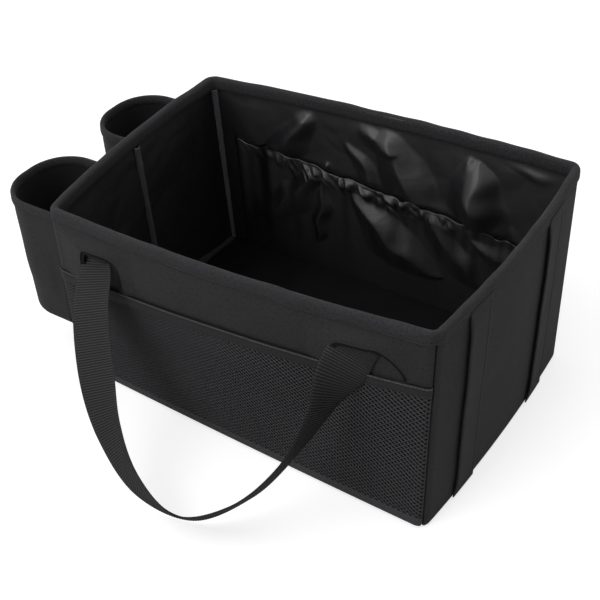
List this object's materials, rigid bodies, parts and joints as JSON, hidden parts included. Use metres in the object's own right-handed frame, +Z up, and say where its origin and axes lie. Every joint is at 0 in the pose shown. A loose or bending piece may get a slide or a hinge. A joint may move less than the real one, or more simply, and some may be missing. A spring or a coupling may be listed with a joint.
{
  "type": "back seat basket",
  "caption": "Open soft-sided basket with stiffened walls, cup holders on one end, an outside net pocket, webbing handles and a gathered inner pocket.",
  "frame": {"origin": "middle of the box's base, on its flat underside", "axes": "+X along the front to the end with the fabric bands, +Y from the front to the back, +Z up"},
  "size_m": [0.4646, 0.49, 0.207],
  "materials": {
    "oxford_fabric": "coated plain-weave black polyester cloth, dull",
    "pocket_net": "fine knitted black net with small diamond openings",
    "handle_webbing": "woven black webbing with ribs across its width",
    "binding_tape": "black binding cloth, dull and finely woven",
    "coated_lining": "thin black coated lining cloth with a soft gloss and loose wrinkles",
    "stiffening_board": "plain stiffening board, hidden between the outer cloth and the lining"
  },
  "bodies": {
    "root": {"outer_front_panel": "oxford_fabric", "outer_right_panel": "oxford_fabric", "outer_back_panel": "oxford_fabric", "outer_left_panel": "oxford_fabric", "base_outer_fabric": "oxford_fabric", "base_board": "stiffening_board", "base_lining": "coated_lining", "front_board": "stiffening_board", "right_board_front": "stiffening_board", "right_board_rear": "stiffening_board", "back_board": "stiffening_board", "left_board_rear": "stiffening_board", "left_board_front": "stiffening_board", "front_lining": "coated_lining", "right_lining": "coated_lining", "back_lining": "coated_lining", "left_lining": "coated_lining", "corner_tape_front_right": "binding_tape", "corner_tape_back_right": "binding_tape", "corner_tape_back_left": "binding_tape", "corner_tape_front_left": "binding_tape", "fold_tape_right": "binding_tape", "fold_tape_left": "binding_tape", "rim_binding": "binding_tape", "front_yoke": "oxford_fabric", "net_pocket": "pocket_net", "net_pocket_binding": "binding_tape", "front_handle": "handle_webbing", "back_handle": "handle_webbing", "right_band_front": "binding_tape", "right_band_rear": "binding_tape", "inner_pocket": "coated_lining", "inner_pocket_elastic": "binding_tape", "cup_sleeve_front": "oxford_fabric", "cup_lip_front": "binding_tape", "cup_lining_front": "coated_lining", "cup_base_front": "stiffening_board", "cup_sleeve_rear": "oxford_fabric", "cup_lip_rear": "binding_tape", "cup_lining_rear": "coated_lining", "cup_base_rear": "stiffening_board"}
  },
  "joints": []
}
